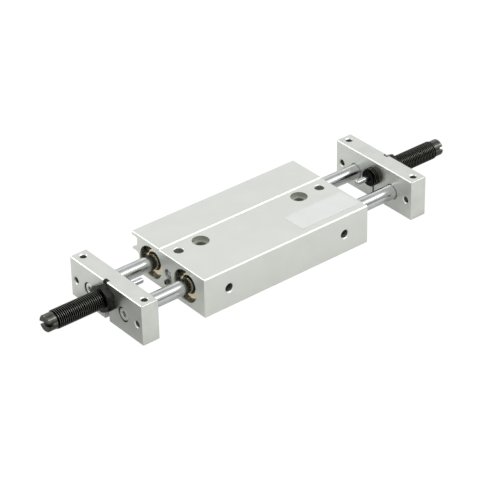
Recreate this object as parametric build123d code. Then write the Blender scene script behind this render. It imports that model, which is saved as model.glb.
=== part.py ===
from build123d import *
from math import asin, cos, radians, sin, tan
import os

# Twin rod cylinder. X runs along the rods, the air ports face -Y, the sensor rail faces +Y.
# The origin is the middle of the body's underside. All sizes are millimetres.

# Bores and rods
bore_d = 16.0
bore_pitch = 28.0
rod_d = 8.0
running_gap = 0.05
seat_gap = 0.03
face_gap = 0.05

# Body block
body_length = 106.0
seat_d = 18.0
near_wall = 6.5
floor_wall = 2.3
roof_wall = 2.0
edge_chamfer = 0.5
end_chamfer = 0.32
step_y = 6.5
step_run = 0.6
step_height = 0.5

# Sensor rail on the far side
rail_reach = 6.5
rail_lip = 2.3
rail_depth = 4.2
rail_mouth = 4.3
rail_hook = 3.0
rail_tip = 1.0
rail_web = 1.2
rail_round = 1.6
lip_round = 0.6

# Ports, passages and mounting holes of the body
port_inset = 15.5
port_drill_d = 4.2
port_thread_d = 5.0
port_chamfer = 0.7
top_port_inset = 7.2
passage_d = 3.0
axial_drill_d = 2.5
mount_pitch = 64.0
mount_hole_d = 5.5
mount_head_d = 9.0
mount_head_depth = 2.6

# Plugs and screws in the body
port_plug_length = 4.5
port_plug_sink = 2.0
port_plug_key = 2.5
passage_ball_d = 5.2
passage_ball_sink = 0.4
bleed_d = 3.0
bleed_drop = 4.4
bleed_length = 6.0
bleed_stand = 1.8
bleed_key = 1.5

# Rod covers and what they hold
mouth_depth = 1.3
ring_thickness = 1.0
ring_depth = 0.5
ring_width = 1.5
ring_lug_angle = 50.0
ring_mouth_angle = 20.0
ring_lug_r = 1.35
ring_eye_d = 1.3
ring_eye_wall = 0.3
cover_length = 8.0
cover_lip = 0.6
cover_lip_width = 1.1
seal_length = 2.8
seal_width = 2.1
bush_wall = 0.95
o_ring_inset = 5.6
o_ring_space = 2.2
o_ring_depth = 1.4
bumper_length = 2.2
bumper_ease = 0.4

# Pistons
piston_length = 18.0
piston_seal_inset = 3.6
piston_seal_space = 2.4
piston_seal_depth = 1.7
ring_space = 3.4
magnet_depth = 2.4
wear_depth = 1.4
clip_thickness = 0.8
clip_depth = 0.6
clip_width = 2.4
clip_mouth = 50.0

# End plates
carriage_x = 1.2
plate_gap = 164.0
plate_thickness = 10.0
plate_width = 59.0
plate_bottom = 0.7
plate_height = 22.9
plate_round = 0.8
plate_edge = 0.4
rod_sink = 1.5
head_d = 7.0
head_height = 4.0
head_sink = 0.4
head_ring_gap = 0.6
head_key = 3.0
screw_d = 4.0
screw_length = 12.0
screw_hole_gap = 0.15
tap_spare = 2.0
rod_mouth_chamfer = 0.5
plate_hole_inset = 4.5
plate_tap_d = 3.4
plate_tap_depth = 8.0
plate_tap_chamfer = 0.5

# Shock absorbers
absorber_d = 10.0
absorber_rise = 3.4
absorber_nose = 4.0
absorber_length = 45.3
absorber_chamfer = 0.6
absorber_chamber_d = 7.0
absorber_nose_wall = 6.0
slit_width = 1.2
foot_notch_width = 4.0
foot_notch_depth = 3.0
notch_width = 3.0
notch_depth = 2.0
nut_flats = 14.0
nut_thickness = 4.0
nut_chamfer = 30.0
cap_d = 9.0
cap_length = 5.0
cap_spigot = 4.0
cap_slot_width = 2.0
cap_slot_depth = 2.4
cap_slot_turn = -15.0
cap_chamfer = 0.5
plunger_d = 3.0
plunger_stand = 8.0
plunger_head_d = 6.0
plunger_head_length = 3.0
plunger_tip_chamfer = 0.3

# Places that follow from the sizes above
seat_r = seat_d / 2
rod_r = rod_d / 2
bore_r = bore_d / 2
bore_y = bore_pitch / 2
bore_z = floor_wall + seat_r
half_length = body_length / 2
near_y = -(bore_y + seat_r + near_wall)
far_y = bore_y + seat_r + rail_reach
web_y = bore_y + seat_r + rail_web
near_top = bore_z + seat_r + roof_wall
far_top = near_top + step_height
cover_face = mouth_depth + ring_thickness + 2 * face_gap
cover_end = cover_face + cover_length
shaft_r = rod_r + running_gap
cover_r = seat_r - seat_gap
lip_r = rod_r + cover_lip_width
seal_r = rod_r + seal_width
bush_r = rod_r + bush_wall
plate_z = bore_z
plate_in = plate_gap / 2
plate_out = plate_in + plate_thickness
plate_top = plate_bottom + plate_height
rod_end = plate_in + rod_sink
absorber_z = bore_z + absorber_rise
absorber_in = plate_in - absorber_nose
absorber_out = absorber_in + absorber_length
absorber_r = absorber_d / 2
head_seat = plate_out - head_sink - head_height
sides = {"left": -1, "right": 1}
rows = {"near": -bore_y, "far": bore_y}


def bar(diameter, start, end, y=0.0, z=0.0):
    """Round bar along X between two places."""
    low = min(start, end)
    length = abs(end - start)
    turned_bar = Rot(0, 90, 0) * Cylinder(
        diameter / 2, length, align=(Align.CENTER, Align.CENTER, Align.MIN)
    )
    return Pos(low, y, z) * turned_bar


def post(diameter, low, high, x=0.0, y=0.0):
    """Round bar along Z between two heights."""
    upright = Cylinder(
        diameter / 2, high - low, align=(Align.CENTER, Align.CENTER, Align.MIN)
    )
    return Pos(x, y, low) * upright


def block(x_range, y_range, z_range):
    """Box between two corners."""
    size = [high - low for low, high in (x_range, y_range, z_range)]
    middle = [(low + high) / 2 for low, high in (x_range, y_range, z_range)]
    return Pos(*middle) * Box(*size)


def turned(outline, y=0.0, z=0.0, side=1, x=0.0):
    """Turn an outline of (place along X, radius) points round the X axis."""
    points = [(side * along, radius) for along, radius in outline]
    face = make_face(Polyline(*points, close=True))
    return Pos(x, y, z) * revolve(face, Axis.X)


def hex_bar(flats, start, end, y=0.0, z=0.0, turn=0.0):
    """Six-sided bar along X, with a corner up when turn is 0."""
    plane = Plane((min(start, end), y, z), x_dir=(0, 1, 0), z_dir=(1, 0, 0))
    outline = plane * Rot(0, 0, turn) * RegularPolygon(flats / 2, 6, major_radius=False, rotation=30)
    return extrude(outline, abs(end - start))


def countersink(hole_d, depth, place, direction):
    """Cone that breaks the edge of a hole, opening against the given direction."""
    plane = Plane(place, z_dir=direction)
    cone = Cone(hole_d / 2 + depth, hole_d / 2, depth, align=(Align.CENTER, Align.CENTER, Align.MIN))
    return plane * cone


def body_outline():
    """Cross-section of the extruded block, with the stepped top and the hooked sensor rail."""
    slot_y = far_y - rail_depth
    slot_top = far_top - rail_lip
    slot_foot = slot_top - rail_mouth
    tip_top = slot_foot - rail_hook
    tip_foot = tip_top - rail_tip
    lip_low = (far_y, slot_top)
    slot_high = (slot_y, slot_top)
    slot_low = (slot_y, slot_foot)
    hook_high = (far_y, tip_top)
    hook_low = (far_y, tip_foot)
    web_high = (web_y, tip_foot)
    points = [
        (near_y, 0),
        (near_y, near_top),
        (step_y, near_top),
        (step_y + step_run, far_top),
        (far_y, far_top),
        lip_low,
        slot_high,
        slot_low,
        hook_high,
        hook_low,
        web_high,
        (web_y, 0),
    ]
    outline = make_face(Polyline(*points, close=True))
    corner = {
        (near_y, 0): -edge_chamfer,
        (near_y, near_top): -edge_chamfer,
        (web_y, 0): -edge_chamfer,
        (far_y, far_top): lip_round,
        lip_low: lip_round,
        slot_high: lip_round,
        slot_low: lip_round,
        hook_high: rail_tip / 3,
        hook_low: rail_tip / 3,
        web_high: rail_round,
    }
    for place, size in corner.items():
        spot = outline.vertices().sort_by_distance(Vector(*place, 0))[0]
        outline = fillet(spot, size) if size > 0 else chamfer(spot, -size)
    return Plane((-half_length, 0, 0), x_dir=(0, 1, 0), z_dir=(1, 0, 0)) * outline


def body_block():
    """Extruded block with both bores, the stepped cover seats, ports and mounting holes."""
    block_solid = extrude(body_outline(), body_length)
    end_edges = [
        edge for edge in block_solid.edges() if abs(abs(edge.center().X) - half_length) < seat_gap
    ]
    block_solid = chamfer(end_edges, end_chamfer)
    cuts = []
    for y in rows.values():
        cuts.append(bar(bore_d, -half_length, half_length, y, bore_z))
    for side in sides.values():
        face = side * half_length
        for y in rows.values():
            seat = side * (half_length - cover_end)
            groove = side * (half_length - mouth_depth)
            groove_end = groove - side * (ring_thickness + 2 * face_gap)
            cuts.append(bar(seat_d, seat, face, y, bore_z))
            cuts.append(bar(seat_d + 2 * ring_depth, groove, groove_end, y, bore_z))
        port_x = side * (half_length - port_inset)
        plug_x = side * (half_length - top_port_inset)
        cuts.append(Pos(port_x, near_y, bore_z) * Rot(-90, 0, 0) * Cylinder(
            port_drill_d / 2, near_wall + seat_r, align=(Align.CENTER, Align.CENTER, Align.MIN)
        ))
        cuts.append(countersink(port_drill_d, port_chamfer, (port_x, near_y, bore_z), (0, 1, 0)))
        cuts.append(Pos(port_x, -bore_y, bore_z) * Rot(-90, 0, 0) * Cylinder(
            passage_d / 2, bore_pitch, align=(Align.CENTER, Align.CENTER, Align.MIN)
        ))
        cuts.append(bar(axial_drill_d, port_x, face, 0, bore_z))
        ball_end = side * (half_length - passage_ball_sink - passage_ball_d)
        cuts.append(bar(passage_ball_d + 2 * seat_gap, ball_end, face, 0, bore_z))
        bleed_end = side * (half_length - bleed_length + bleed_stand - face_gap)
        cuts.append(bar(bleed_d + 2 * seat_gap, bleed_end, face, 0, bore_z - bleed_drop))
        plug_foot = near_top - port_plug_sink - port_plug_length
        cuts.append(post(port_thread_d + 2 * seat_gap, plug_foot, near_top, plug_x, 0))
        cuts.append(post(axial_drill_d, bore_z, near_top, plug_x, 0))
        cuts.append(countersink(port_thread_d, port_chamfer / 2, (plug_x, 0, near_top), (0, 0, -1)))
        mount_x = side * mount_pitch / 2
        cuts.append(post(mount_hole_d, 0, near_top, mount_x, 0))
        cuts.append(post(mount_head_d, near_top - mount_head_depth, near_top, mount_x, 0))
        cuts.append(countersink(mount_hole_d, port_chamfer / 2, (mount_x, 0, 0), (0, 0, 1)))
    return block_solid - cuts


def rod_cover(side, y):
    """Turned cover: seal pocket behind the lip, bush bore behind it, O-ring groove outside."""
    seal_end = cover_lip + seal_length
    groove_r = seat_r - o_ring_depth
    groove_in = o_ring_inset - o_ring_space / 2
    groove_out = o_ring_inset + o_ring_space / 2
    outline = [
        (0, lip_r),
        (0, cover_r - edge_chamfer),
        (edge_chamfer, cover_r),
        (groove_in, cover_r),
        (groove_in, groove_r),
        (groove_out, groove_r),
        (groove_out, cover_r),
        (cover_length, cover_r),
        (cover_length, bush_r),
        (seal_end, bush_r),
        (seal_end, seal_r),
        (cover_lip, seal_r),
        (cover_lip, lip_r),
    ]
    return turned(outline, y, bore_z, -side, side * (half_length - cover_face))


def rod_seal(side, y):
    """Lip seal with a V groove that faces the pressure."""
    inner = shaft_r
    outer = seal_r - seat_gap
    middle = (inner + outer) / 2
    length = seal_length - face_gap
    lip = seal_width / 5
    outline = [
        (0, inner + lip / 2),
        (0, outer),
        (length, outer),
        (length, middle + lip),
        (length * 0.6, middle),
        (length, middle - lip),
        (length, inner),
        (lip / 2, inner),
    ]
    return turned(outline, y, bore_z, -side, side * (half_length - cover_face - cover_lip))


def guide_bush(side, y):
    """Plain bush that guides the rod."""
    start = cover_lip + seal_length
    outline = [
        (start, shaft_r),
        (start, bush_r - seat_gap),
        (cover_length, bush_r - seat_gap),
        (cover_length, shaft_r),
    ]
    return turned(outline, y, bore_z, -side, side * (half_length - cover_face))


def ring_of(radius, section_r, x, y):
    """Round-section ring about a bore axis."""
    plane = Plane((x, y, bore_z), x_dir=(0, 1, 0), z_dir=(1, 0, 0))
    return plane * Torus(radius, section_r)


def cover_o_ring(side, y):
    """O-ring in the groove of the rod cover."""
    groove_r = seat_r - o_ring_depth
    section_r = o_ring_depth / 2 - seat_gap
    return ring_of((seat_r + groove_r) / 2, section_r, side * (half_length - cover_face - o_ring_inset), y)


def bumper(side, y):
    """Elastic ring that the piston meets at the end of its travel."""
    outline = [
        (0, rod_r + bumper_ease),
        (0, bore_r - seat_gap),
        (bumper_length - edge_chamfer, bore_r - seat_gap),
        (bumper_length, bore_r - edge_chamfer),
        (bumper_length, rod_r + bumper_ease),
    ]
    return turned(outline, y, bore_z, -side, side * (half_length - cover_end))


def retaining_ring(side, y):
    """Internal retaining ring with two eyed lugs, sprung into its groove in front of the cover."""
    start = side * (half_length - mouth_depth - face_gap)
    plane = Plane((start, y, bore_z), x_dir=(0, 1, 0), z_dir=(1, 0, 0))
    outer_r = seat_r + ring_depth - seat_gap
    inner_r = outer_r - ring_width
    lug_centre = inner_r - ring_lug_r / 2
    reach = 2 * outer_r
    half_mouth = radians(ring_mouth_angle / 2)
    mouth_width = reach * tan(half_mouth)
    mouth = make_face(Polyline((0, 0), (mouth_width, reach), (-mouth_width, reach), close=True))
    inside = Circle(outer_r) - mouth
    ring = inside - Circle(inner_r)
    eye_angle = half_mouth + asin((ring_eye_d / 2 + ring_eye_wall) / lug_centre)
    places = [
        Pos(lug_centre * sin(angle), lug_centre * cos(angle)) for angle in (-eye_angle, eye_angle)
    ]
    for place in places:
        ring = ring + ((place * Circle(ring_lug_r)) & inside)
    for place in places:
        ring = ring - place * Circle(ring_eye_d / 2)
    return extrude(plane * Rot(0, 0, -ring_lug_angle) * ring, -side * ring_thickness)


def port_plug(side):
    """Socket screw plug that closes the top port."""
    x = side * (half_length - top_port_inset)
    high = near_top - port_plug_sink
    plug = post(port_thread_d, high - port_plug_length, high, x, 0)
    key_outline = RegularPolygon(port_plug_key / 2, 6, major_radius=False)
    key = Pos(x, 0, high) * extrude(key_outline, -port_plug_length / 2)
    return plug - key


def passage_plug(side):
    """Ball pressed into the axial air passage, just inside the end face."""
    centre = side * (half_length - passage_ball_sink - passage_ball_d / 2)
    return Pos(centre, 0, bore_z) * Sphere(passage_ball_d / 2)


def bleed_screw(side):
    """Small socket screw under the passage plug."""
    z = bore_z - bleed_drop
    out = half_length + bleed_stand
    screw = bar(bleed_d, side * (out - bleed_length), side * out, 0, z)
    key = hex_bar(bleed_key, side * (out - bleed_length / 3), side * (out + face_gap), 0, z)
    return screw - key


def rod(y):
    """Ground rod from plate to plate, tapped at both ends, with two clip grooves."""
    clip_in = piston_length / 2
    clip_out = clip_in + clip_thickness + 2 * face_gap
    groove_r = rod_r - clip_depth
    half = [
        (rod_end, rod_r - edge_chamfer),
        (rod_end - edge_chamfer, rod_r),
        (clip_out, rod_r),
        (clip_out, groove_r),
        (clip_in, groove_r),
        (clip_in, rod_r),
    ]
    other_half = [(-along, radius) for along, radius in reversed(half)]
    outline = [(rod_end, 0)] + half + other_half + [(-rod_end, 0)]
    shaft = turned(outline, y, bore_z, 1, carriage_x)
    tap_end = head_seat - screw_length - tap_spare
    tap_d = screw_d + 2 * seat_gap
    holes = []
    for side in sides.values():
        holes.append(bar(tap_d, carriage_x + side * tap_end, carriage_x + side * rod_end, y, bore_z))
    return shaft - holes


def piston(y, middle_depth):
    """Turned piston with two seal grooves and a middle groove."""
    half = piston_length / 2
    outer = bore_r - running_gap
    seal_in = half - piston_seal_inset - piston_seal_space / 2
    seal_out = seal_in + piston_seal_space
    right = [
        (ring_space / 2, outer - middle_depth),
        (ring_space / 2, outer),
        (seal_in, outer),
        (seal_in, outer - piston_seal_depth),
        (seal_out, outer - piston_seal_depth),
        (seal_out, outer),
        (half - edge_chamfer, outer),
        (half, outer - edge_chamfer),
        (half, rod_r + seat_gap),
    ]
    left = [(-along, radius) for along, radius in reversed(right)]
    return turned(left + right, y, bore_z, 1, carriage_x)


def piston_seals(y):
    """Pair of piston seals, one lip towards each chamber."""
    base = bore_r - running_gap - piston_seal_depth + seat_gap
    crown = bore_r - seat_gap
    width = piston_seal_space - 2 * face_gap
    start = piston_length / 2 - piston_seal_inset - width / 2
    outline = [
        (start, base),
        (start, crown - piston_seal_depth / 3),
        (start + width * 0.7, crown),
        (start + width, crown),
        (start + width, base),
    ]
    return [turned(outline, y, bore_z, side, carriage_x) for side in sides.values()]


def middle_ring(y, depth, crown_gap):
    """Ring in the middle groove of a piston."""
    half = ring_space / 2 - face_gap
    base = bore_r - running_gap - depth + seat_gap
    crown = bore_r - crown_gap
    outline = [(-half, base), (-half, crown), (half, crown), (half, base)]
    return turned(outline, y, bore_z, 1, carriage_x)


def rod_clips(y):
    """Open clips in the rod grooves that hold the piston."""
    groove_r = rod_r - clip_depth
    clips = []
    for side in sides.values():
        start = carriage_x + side * (piston_length / 2 + face_gap)
        plane = Plane((start, y, bore_z), x_dir=(0, 1, 0), z_dir=(side, 0, 0))
        outline = Circle(groove_r + clip_width) - Circle(groove_r + seat_gap)
        reach = 2 * (groove_r + clip_width)
        half = reach * tan(radians(clip_mouth / 2))
        mouth = make_face(Polyline((0, 0), (half, -reach), (-half, -reach), close=True))
        clips.append(extrude(plane * (outline - mouth), clip_thickness))
    return clips


def end_plate(side):
    """Plate that joins both rods and holds the shock absorber in a threaded, slit hole."""
    x_in = carriage_x + side * plate_in
    x_out = carriage_x + side * plate_out
    half_width = plate_width / 2
    solid = block(
        (min(x_in, x_out), max(x_in, x_out)), (-half_width, half_width), (plate_bottom, plate_top)
    )
    upright = solid.edges().filter_by(Axis.X)
    solid = fillet(upright, plate_round)
    rims = [
        edge
        for edge in solid.edges()
        if abs(abs(edge.center().X - carriage_x) - plate_out) < seat_gap
        or abs(abs(edge.center().X - carriage_x) - plate_in) < seat_gap
    ]
    solid = chamfer(rims, plate_edge)
    head_hole = head_d + 2 * head_ring_gap
    cuts = [bar(absorber_d + 2 * seat_gap, x_in, x_out, 0, absorber_z)]
    cuts.append(block(
        (min(x_in, x_out), max(x_in, x_out)),
        (-slit_width / 2, slit_width / 2),
        (plate_bottom, absorber_z),
    ))
    foot_in = x_out - side * foot_notch_depth
    cuts.append(block(
        (min(foot_in, x_out), max(foot_in, x_out)),
        (-foot_notch_width / 2, foot_notch_width / 2),
        (plate_bottom, absorber_z),
    ))
    notch_in = x_out - side * notch_depth
    cuts.append(block(
        (min(notch_in, x_out), max(notch_in, x_out)),
        (-notch_width / 2, notch_width / 2),
        (absorber_z, plate_top),
    ))
    for y in rows.values():
        cuts.append(bar(rod_d + 2 * seat_gap, x_in, x_in + side * rod_sink, y, plate_z))
        cuts.append(countersink(rod_d + 2 * seat_gap, rod_mouth_chamfer, (x_in, y, plate_z), (side, 0, 0)))
        cuts.append(bar(screw_d + 2 * screw_hole_gap, x_in, x_out, y, plate_z))
        cuts.append(bar(head_hole, carriage_x + side * head_seat, x_out, y, plate_z))
    for sign in (-1, 1):
        y = sign * (half_width - plate_hole_inset)
        middle = (x_in + x_out) / 2
        cuts.append(bar(plate_tap_d, x_in, x_out, y, plate_z))
        cuts.append(countersink(plate_tap_d, plate_tap_chamfer, (x_out, y, plate_z), (-side, 0, 0)))
        cuts.append(countersink(plate_tap_d, plate_tap_chamfer, (x_in, y, plate_z), (side, 0, 0)))
        cuts.append(post(plate_tap_d, plate_top - plate_tap_depth, plate_top, middle, y))
        cuts.append(countersink(plate_tap_d, plate_tap_chamfer, (middle, y, plate_top), (0, 0, -1)))
    return solid - cuts


def plate_screws(side):
    """Socket head screws that hold the rods to the plate."""
    screws = []
    for y in rows.values():
        seat = head_seat
        top = seat + head_height
        r = head_d / 2
        outline = [
            (seat - screw_length, 0),
            (seat - screw_length, screw_d / 2 - edge_chamfer),
            (seat - screw_length + edge_chamfer, screw_d / 2),
            (seat, screw_d / 2),
            (seat, r),
            (top - edge_chamfer, r),
            (top, r - edge_chamfer),
            (top, 0),
        ]
        screw = turned(outline, y, plate_z, side, carriage_x)
        key = hex_bar(
            head_key,
            carriage_x + side * (top - head_height / 2),
            carriage_x + side * (top + face_gap),
            y,
            plate_z,
        )
        screws.append(screw - key)
    return screws


def absorber_body(side):
    """Tube of the shock absorber, with the guide hole in its nose and the chamber behind."""
    guide_r = plunger_d / 2 + running_gap
    chamber_r = absorber_chamber_d / 2
    chamber_in = absorber_in + absorber_nose_wall
    outline = [
        (absorber_in, guide_r),
        (absorber_in, absorber_r - absorber_chamfer),
        (absorber_in + absorber_chamfer, absorber_r),
        (absorber_out - absorber_chamfer, absorber_r),
        (absorber_out, absorber_r - absorber_chamfer),
        (absorber_out, chamber_r),
        (chamber_in, chamber_r),
        (chamber_in, guide_r),
    ]
    return turned(outline, 0, absorber_z, side, carriage_x)


def absorber_cap(side):
    """Slotted end cap with its spigot in the tube."""
    spigot_r = absorber_chamber_d / 2 - seat_gap
    end = absorber_out + cap_length
    outline = [
        (absorber_out - cap_spigot, 0),
        (absorber_out - cap_spigot, spigot_r),
        (absorber_out, spigot_r),
        (absorber_out, cap_d / 2),
        (end - cap_chamfer, cap_d / 2),
        (end, cap_d / 2 - cap_chamfer),
        (end, 0),
    ]
    cap = turned(outline, 0, absorber_z, side, carriage_x)
    slot_in = carriage_x + side * (end - cap_slot_depth)
    slot_out = carriage_x + side * (end + face_gap)
    slot = block(
        (min(slot_in, slot_out), max(slot_in, slot_out)),
        (-cap_d, cap_d),
        (-cap_slot_width / 2, cap_slot_width / 2),
    )
    return cap - Pos(0, 0, absorber_z) * Rot(cap_slot_turn, 0, 0) * slot


def lock_nut(side):
    """Hexagon nut on the outer face of the plate, chamfered on both sides."""
    start = carriage_x + side * plate_out
    end = start + side * nut_thickness
    nut = hex_bar(nut_flats, start, end, 0, absorber_z)
    flat_r = nut_flats / 2
    corner_r = flat_r / cos(radians(30))
    drop = (corner_r - flat_r) * tan(radians(nut_chamfer))
    outline = [
        (0, absorber_r + seat_gap),
        (0, flat_r),
        (drop, corner_r),
        (nut_thickness - drop, corner_r),
        (nut_thickness, flat_r),
        (nut_thickness, absorber_r + seat_gap),
    ]
    return nut & turned(outline, 0, absorber_z, side, start)


def plunger(side):
    """Steel plunger with its head in the absorber's chamber."""
    tip = absorber_in - plunger_stand
    chamber_in = absorber_in + absorber_nose_wall + face_gap
    outline = [
        (tip, 0),
        (tip, plunger_d / 2 - plunger_tip_chamfer),
        (tip + plunger_tip_chamfer, plunger_d / 2),
        (chamber_in, plunger_d / 2),
        (chamber_in, plunger_head_d / 2),
        (chamber_in + plunger_head_length, plunger_head_d / 2),
        (chamber_in + plunger_head_length, 0),
    ]
    return turned(outline, 0, absorber_z, side, carriage_x)


def all_parts():
    """Every sub-part by name."""
    parts = {"body_block": body_block()}
    end_makers = {
        "rod_cover": rod_cover,
        "rod_seal": rod_seal,
        "guide_bush": guide_bush,
        "cover_o_ring": cover_o_ring,
        "bumper": bumper,
        "retaining_ring": retaining_ring,
    }
    for row, y in rows.items():
        for side, sign in sides.items():
            for name, maker in end_makers.items():
                parts[f"{name}_{row}_{side}"] = maker(sign, y)
        parts[f"rod_{row}"] = rod(y)
        parts[f"piston_seals_{row}"] = piston_seals(y)
        parts[f"rod_clips_{row}"] = rod_clips(y)
    parts["piston_near"] = piston(rows["near"], wear_depth)
    parts["piston_far"] = piston(rows["far"], magnet_depth)
    parts["wear_ring_near"] = middle_ring(rows["near"], wear_depth, seat_gap)
    parts["magnet_ring_far"] = middle_ring(rows["far"], magnet_depth, edge_chamfer)
    side_makers = {
        "port_plug": port_plug,
        "passage_plug": passage_plug,
        "bleed_screw": bleed_screw,
        "end_plate": end_plate,
        "plate_screws": plate_screws,
        "absorber_body": absorber_body,
        "absorber_cap": absorber_cap,
        "lock_nut": lock_nut,
        "plunger": plunger,
    }
    for side, sign in sides.items():
        for name, maker in side_makers.items():
            parts[f"{name}_{side}"] = maker(sign)
    return parts


os.makedirs("parts", exist_ok=True)
for part_name, shape in all_parts().items():
    pieces = shape if isinstance(shape, list) else [shape]
    solids = [solid for piece in pieces for solid in piece.solids()]
    export_step(Compound(solids) if len(solids) > 1 else solids[0], f"parts/{part_name}.step")
    print(part_name, len(solids))
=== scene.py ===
import math
import bmesh
import bpy
from mathutils import Matrix, Vector


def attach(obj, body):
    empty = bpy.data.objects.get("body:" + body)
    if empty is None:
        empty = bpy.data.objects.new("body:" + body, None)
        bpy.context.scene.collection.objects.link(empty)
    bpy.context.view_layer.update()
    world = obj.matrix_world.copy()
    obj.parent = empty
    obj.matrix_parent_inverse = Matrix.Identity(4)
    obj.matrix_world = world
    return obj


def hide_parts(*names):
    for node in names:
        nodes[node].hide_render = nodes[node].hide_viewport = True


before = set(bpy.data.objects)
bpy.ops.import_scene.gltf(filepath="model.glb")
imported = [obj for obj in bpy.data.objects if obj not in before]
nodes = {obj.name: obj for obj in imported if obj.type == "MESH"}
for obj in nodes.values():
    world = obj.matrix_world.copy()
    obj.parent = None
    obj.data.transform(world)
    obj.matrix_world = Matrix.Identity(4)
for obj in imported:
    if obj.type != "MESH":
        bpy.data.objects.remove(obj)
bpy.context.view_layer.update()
mm = 0.001

# places that several pieces share, in mm
carriageX = 1.2  # how far the carriage stands to the right of the body's middle
boreY = 14.0  # a bore on each side of the middle
boreZ = 11.3
absorberZ = 14.7
bodyEnd = 53.0
bodyTop = 22.3  # the near half, below the step

print("frame loaded,", len(nodes), "nodes")


def linear(code):  # sRGB hex to the linear colour a shader takes
    channels = [int(code[i:i + 2], 16) / 255 for i in (1, 3, 5)]
    return tuple(c / 12.92 if c <= 0.04045 else ((c + 0.055) / 1.055) ** 2.4 for c in channels) + (1.0,)


def addNode(tree, kind, values=None, links=None, **settings):
    node = tree.nodes.new(kind)
    for key, value in settings.items():
        setattr(node, key, value)
    for key, value in (values or {}).items():
        node.inputs[key].default_value = value
    for key, source in (links or {}).items():
        tree.links.new(source, node.inputs[key])
    return node


def emptyTree(holder):
    holder.use_nodes = True
    holder.node_tree.nodes.clear()
    return holder.node_tree


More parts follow.
